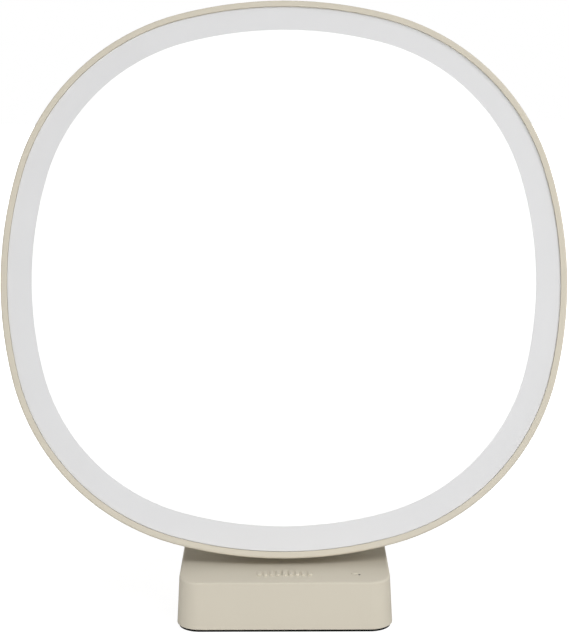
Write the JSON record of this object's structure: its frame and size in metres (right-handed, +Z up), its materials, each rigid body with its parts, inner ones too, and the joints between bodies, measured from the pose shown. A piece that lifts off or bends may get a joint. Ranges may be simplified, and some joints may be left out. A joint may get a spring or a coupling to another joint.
{
  "type": "light therapy lamp",
  "caption": "Light therapy lamp: a rounded-square opal light panel with a thin rim, carried on a tilting neck hinge over a low weighted wedge base with a push button and a rear power inlet.",
  "frame": {"origin": "centre of the foot pad's underside, on the surface the lamp stands on", "axes": "the light faces -Y and leans back, +Z is up, +X is the side with the button and the power inlet"},
  "size_m": [0.335, 0.1524, 0.3517],
  "materials": {
    "casing": "moulded, fine satin texture",
    "rear_casing": "moulded, fine satin texture",
    "ring": "satin, light grey",
    "diffuser": "opal, lit evenly from behind",
    "film": "prismatic film",
    "gasket": "closed-cell foam",
    "reflector": "bright white",
    "led_board": "white solder mask on an aluminium core",
    "led": "phosphor",
    "board": "green solder mask",
    "component": "black moulded",
    "capacitor": "brushed can",
    "socket": "ivory nylon",
    "screw": "zinc plated",
    "steel": "grey powder coat on pressed steel",
    "pin": "turned, satin",
    "friction": "acetal",
    "ballast": "plain",
    "pad": "matt, fine grip texture",
    "button": "satin, power mark",
    "light_pipe": "smoked clear, unlit",
    "jack": "black moulded",
    "nut": "nickel plated",
    "lead": "black sheath"
  },
  "bodies": {
    "base": {"base_shell": "casing", "base_plate": "casing", "foot_pad": "pad", "base_screws": "screw", "ballast": "ballast", "ballast_screws": "screw", "neck_spine": "steel", "spine_bolts": "screw", "neck_front": "casing", "neck_rear": "rear_casing", "neck_screws": "screw", "hinge_pin": "pin", "hinge_nut": "nut", "friction_washers": "friction", "disc_springs": "pin", "control_board": "board", "control_screws": "screw", "control_chips": "component", "board_sockets": "socket", "switch_body": "component", "switch_dome": "pin", "status_led": "led", "light_pipe": "light_pipe", "dc_jack": "jack", "jack_nut": "nut", "jack_lead": "lead", "neck_lead": "lead"},
    "head": {"head_bezel": "casing", "rear_cover": "rear_casing", "cover_screws": "screw", "front_ring": "ring", "diffuser": "diffuser", "diffuser_film": "film", "diffuser_gasket": "gasket", "reflector_frame": "reflector", "led_board": "led_board", "led_chips": "led", "led_board_screws": "screw", "driver_board": "board", "driver_screws": "screw", "driver_coils": "component", "driver_capacitors": "capacitor", "driver_connector": "socket", "head_lead": "lead", "left_hinge_arm": "steel", "right_hinge_arm": "steel", "left_hinge_cheek": "rear_casing", "right_hinge_cheek": "rear_casing", "hinge_screws": "screw"},
    "power_button": {"power_button": "button", "switch_plunger": "component"}
  },
  "joints": [
    {"name": "head_tilt", "type": "hinge", "parent": "base", "child": "head", "pos_m": [0, 0.02773, 0.11433], "axis": [-1, 0, 0], "range_deg": [0, 15]},
    {"name": "power_button_press", "type": "slide", "parent": "base", "child": "power_button", "axis": [0, 0.0698, -0.9976], "range_m": [0, 0.0005], "stiffness_N_per_m": 500}
  ]
}
